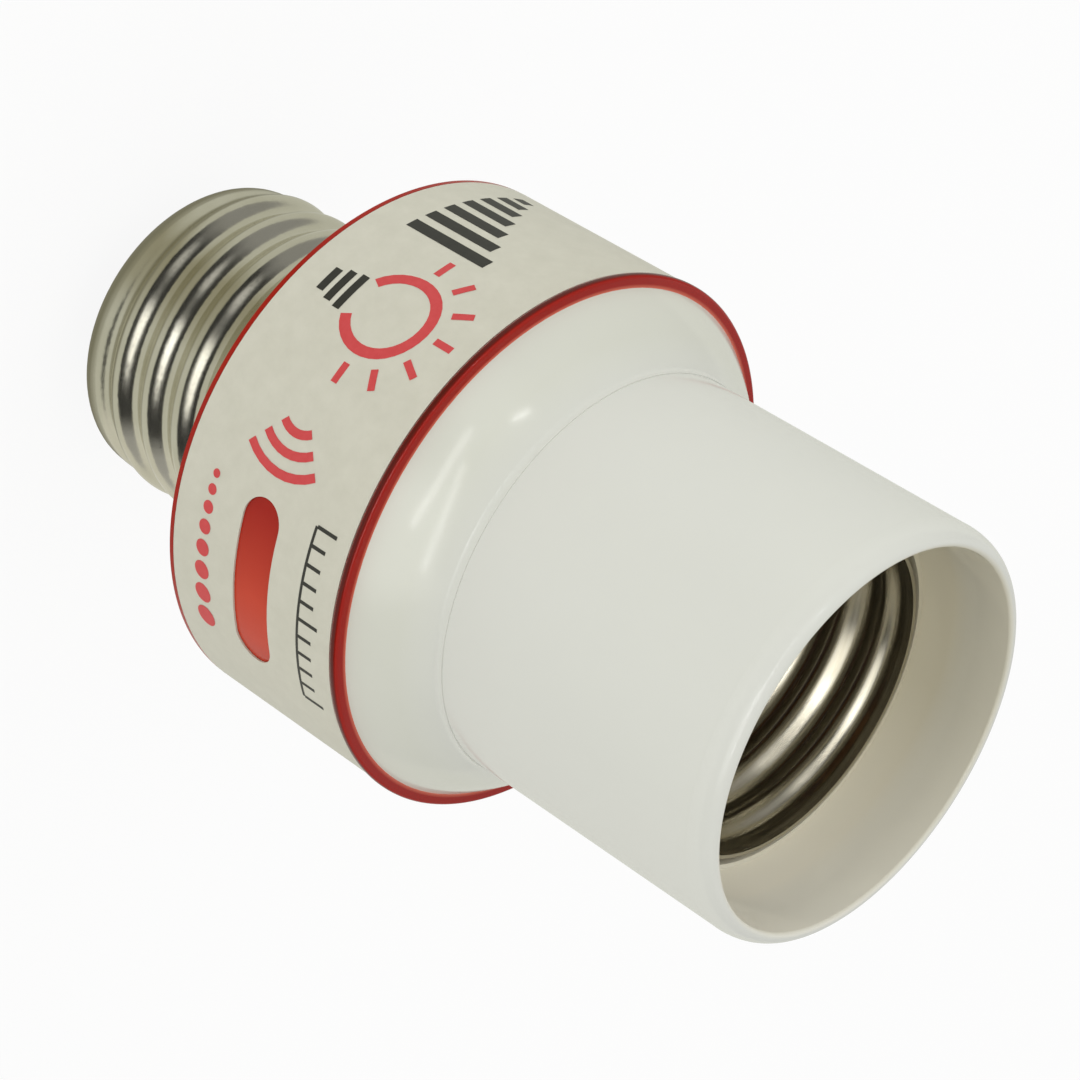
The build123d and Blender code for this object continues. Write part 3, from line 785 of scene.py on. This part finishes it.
# %% Floor
floor_half, floor_gap = 3, 0.0001
sheet = bmesh.new()
bmesh.ops.create_grid(sheet, x_segments=1, y_segments=1, size=floor_half)
bmesh.ops.translate(sheet, verts=sheet.verts, vec=(0, 0, cad_box[0].z - floor_gap))
white = bpy.data.materials.new("studio_white")
white.use_nodes = True
tree = white.node_tree
tree.nodes.clear()
path = add(tree, "ShaderNodeLightPath", {})
seen = add(
    tree, "ShaderNodeMath", {0: path.outputs["Is Camera Ray"], 1: path.outputs["Is Glossy Ray"]},
    operation="ADD", use_clamp=True,
)
seen = add(
    tree, "ShaderNodeMath", {0: seen.outputs[0], 1: path.outputs["Is Transmission Ray"]},
    operation="ADD", use_clamp=True,
)
plain_share = add(tree, "ShaderNodeMath", {0: seen.outputs[0], 1: 0.9}, operation="MULTIPLY")
shaded = add(tree, "ShaderNodeBsdfDiffuse", {"Color": linear("F2F2F0")})
plain = add(tree, "ShaderNodeEmission", {"Strength": 1.0})
both = add(
    tree, "ShaderNodeMixShader", {0: plain_share.outputs[0], 1: shaded.outputs[0], 2: plain.outputs[0]}
)
add(tree, "ShaderNodeOutputMaterial", {"Surface": both.outputs[0]})
floor = make_piece(sheet, "studio_floor", white)

# %% [markdown]
# ## The world
# Matt surfaces get an even light, a little weaker overhead, and the camera sees plain white.
# Reflections see a studio room instead: dark low down and paler overhead, with soft-edged walls round
# the table. A wall has a bearing, a width and a band of heights, and the walls add up in a loop. The
# white one draws the bright streaks on the screw base, the pale one the softer streaks above them, and
# the grey ones fill the two ends.

# %% The room that reflections see
world = bpy.data.worlds.new("studio_world")
bpy.context.scene.world = world
world.use_nodes = True
tree = world.node_tree
tree.nodes.clear()
path = add(tree, "ShaderNodeLightPath", {})
direction = add(tree, "ShaderNodeTexCoord", {}).outputs["Generated"]
height = add(tree, "ShaderNodeSeparateXYZ", {0: direction}).outputs["Z"]
level_way = add(tree, "ShaderNodeVectorMath", {0: direction, 1: (1, 1, 0)}, operation="MULTIPLY")
bearing = add(
    tree, "ShaderNodeVectorMath", {0: level_way.outputs["Vector"]}, operation="NORMALIZE"
).outputs["Vector"]
room = add(
    tree, "ShaderNodeMapRange",
    {"Value": height, "From Min": 0.45, "From Max": 0.7, "To Min": 0.03, "To Max": 0.55},
)
shown = room.outputs["Result"]
soft = 0.07
for name, middle, half, fade, bottom, top, strength in (
    ("white", -58, 18, 16, 0.38, 0.75, 1.9),
    ("pale", -128, 5, 15, 0.38, 0.75, 0.7),
    ("near grey", 60, 55, 15, -0.1, 0.6, 0.4),
    ("far grey", 160, 40, 20, -0.1, 0.6, 0.28),
):
    facing = (math.cos(math.radians(middle)), math.sin(math.radians(middle)), 0)
    side = add(tree, "ShaderNodeVectorMath", {0: bearing, 1: facing}, operation="DOT_PRODUCT")
    outside, inside = math.cos(math.radians(half + fade)), math.cos(math.radians(half))
    wide = add(tree, "ShaderNodeMapRange", {
        "Value": side.outputs["Value"], "From Min": outside, "From Max": inside, "To Max": strength
    })
    above = add(tree, "ShaderNodeMapRange", {
        "Value": height, "From Min": bottom, "From Max": bottom + soft, "To Max": wide.outputs["Result"]
    })
    below = add(tree, "ShaderNodeMapRange", {
        "Value": height, "From Min": top, "From Max": top + soft,
        "To Min": above.outputs["Result"], "To Max": 0,
    })
    shown = add(tree, "ShaderNodeMath", {0: shown, 1: below.outputs["Result"]}, operation="ADD").outputs[0]
    print(name, "wall from", middle - half - fade, "to", middle + half + fade, "degrees")

# %% The light for matt surfaces, and the camera's white
low_light, top_light, weakest_from = 1.06, 0.77, 0.6
matt = add(
    tree, "ShaderNodeMapRange",
    {"Value": height, "From Max": weakest_from, "To Min": low_light, "To Max": top_light},
)
mirrored = add(
    tree, "ShaderNodeMapRange",
    {"Value": path.outputs["Is Glossy Ray"], "To Min": matt.outputs["Result"], "To Max": shown},
)
level = add(
    tree, "ShaderNodeMapRange",
    {"Value": path.outputs["Is Camera Ray"], "To Min": mirrored.outputs["Result"], "To Max": 1.0},
)
sky = add(tree, "ShaderNodeBackground", {"Color": linear("FFFFFF"), "Strength": level.outputs["Result"]})
add(tree, "ShaderNodeOutputWorld", {"Surface": sky.outputs[0]})
print("matt light from", low_light, "low down to", top_light, "overhead")

# %% [markdown]
# ## A painted card for the nickel
# Bright metal shows what is round it, and a plain white floor would leave it flat. In a studio, painted
# cards on the table give such metal its tones, so a wide round card lies on the floor here, and only
# reflections see it. A gradient that runs round the axis paints it from olive to pale grey, and a
# painted shadow darkens it where it runs in under the object. All changes are soft, because a hard
# edge would show as a line on glossy plastic. The pen that drew the dots draws the card too, in tenths
# of a metre.

# %% Paint for the card
paint = bpy.data.materials.new("card_paint")
paint.use_nodes = True
tree = paint.node_tree
tree.nodes.clear()
where = add(tree, "ShaderNodeTexCoord", {}).outputs["Object"]
round_axis = add(tree, "ShaderNodeTexGradient", {"Vector": where}, gradient_type="RADIAL").outputs["Fac"]
ramp = add(tree, "ShaderNodeValToRGB", {"Fac": round_axis})
elements = ramp.color_ramp.elements
elements.remove(elements[1])
elements[0].color = linear("CDCEC4")
for degrees, paint_tone in (
    (-142, "CDCEC4"), (-118, "A3A08C"), (-95, "ABA998"), (-70, "D0D1C8"),
    (-15, "D4D5CB"), (0, "E2E1D8"), (22, "E2E1D8"), (75, "D4D5CB"), (180, "CDCEC4"),
):
    elements.new(0.5 + degrees / 360).color = linear(paint_tone)
# Painted shadow: the card turns a dark grey close under the object.
shade_from, shade_full = 0.02, 0.014
contact_shade_mask = add(
    tree, "ShaderNodeMapRange",
    {"Value": from_axis(tree, where), "From Min": shade_from, "From Max": shade_full},
)
tones = add(
    tree, "ShaderNodeMix",
    {SHARE: contact_shade_mask.outputs["Result"], FROM: ramp.outputs["Color"], TO: linear("8A8878")}, data_type="RGBA",
)
glow = add(tree, "ShaderNodeEmission", {"Color": tones.outputs[MIXED]})
add(tree, "ShaderNodeOutputMaterial", {"Surface": glow.outputs[0]})
print("tones on the card:", len(elements))

# %% Painted card
card_radius, tenth = 25, 0.1
disc = bmesh.new()
draw_arc(disc, (0, 0), 0, card_radius, 0, 360)
bmesh.ops.remove_doubles(disc, verts=disc.verts, dist=MERGE)
bmesh.ops.scale(disc, verts=disc.verts, vec=(tenth, tenth, 1))
card = make_piece(disc, "painted_card", paint)
card.visible_camera = False
card.visible_diffuse = False
card.visible_shadow = False
card.visible_transmission = False

# %% [markdown]
# ## The lamps
# A broad box near the camera and a weaker one at its side shape the matt light, and the second one
# reaches the wall inside the mouth. Neither shows in reflections, where it would wash out the red
# plastic. Three strips do show there, and only there: two long ones draw the streaks on the glossy
# shoulder, and a short one the small highlight above them. Each line of the table gives a lamp its
# place, the point it faces, its two sides in metres, its watts and whether reflections see it. The
# Standard view shows colours as they are written, so white stays white.

# %% Lamps
shoulder = (0, -0.02, 0.048)
for name, place, aim, wide, high, watts, in_reflections in (
    ("front_box", (0, -0.98, 0.25), (0, 0, 0.045), 0.9, 0.9, 1.75, False),
    ("side_box", (-0.75, -0.35, 0.75), (0, 0, 0.06), 0.6, 0.6, 1.0, False),
    ("strip_one", (0.008, -0.459, 0.457), shoulder, 0.42, 0.022, 0.22, True),
    ("strip_two", (0.117, -0.379, 0.514), shoulder, 0.42, 0.022, 0.19, True),
    ("strip_short", (-0.312, -0.288, 0.489), shoulder, 0.075, 0.012, 0.06, True),
):
    lamp = bpy.data.lights.new(name, "AREA")
    lamp.shape = "RECTANGLE"
    lamp.size = wide
    lamp.size_y = high
    lamp.energy = watts
    box = bpy.data.objects.new(name, lamp)
    bpy.context.scene.collection.objects.link(box)
    box.location = place
    box.rotation_euler = (Vector(aim) - Vector(place)).to_track_quat("-Z", "Y").to_euler()
    box.visible_glossy = in_reflections
    box.visible_diffuse = not in_reflections
    print(name, "gives", watts, "W from", round((Vector(place) - Vector(aim)).length, 2), "m")
bpy.context.scene.view_settings.view_transform = "Standard"
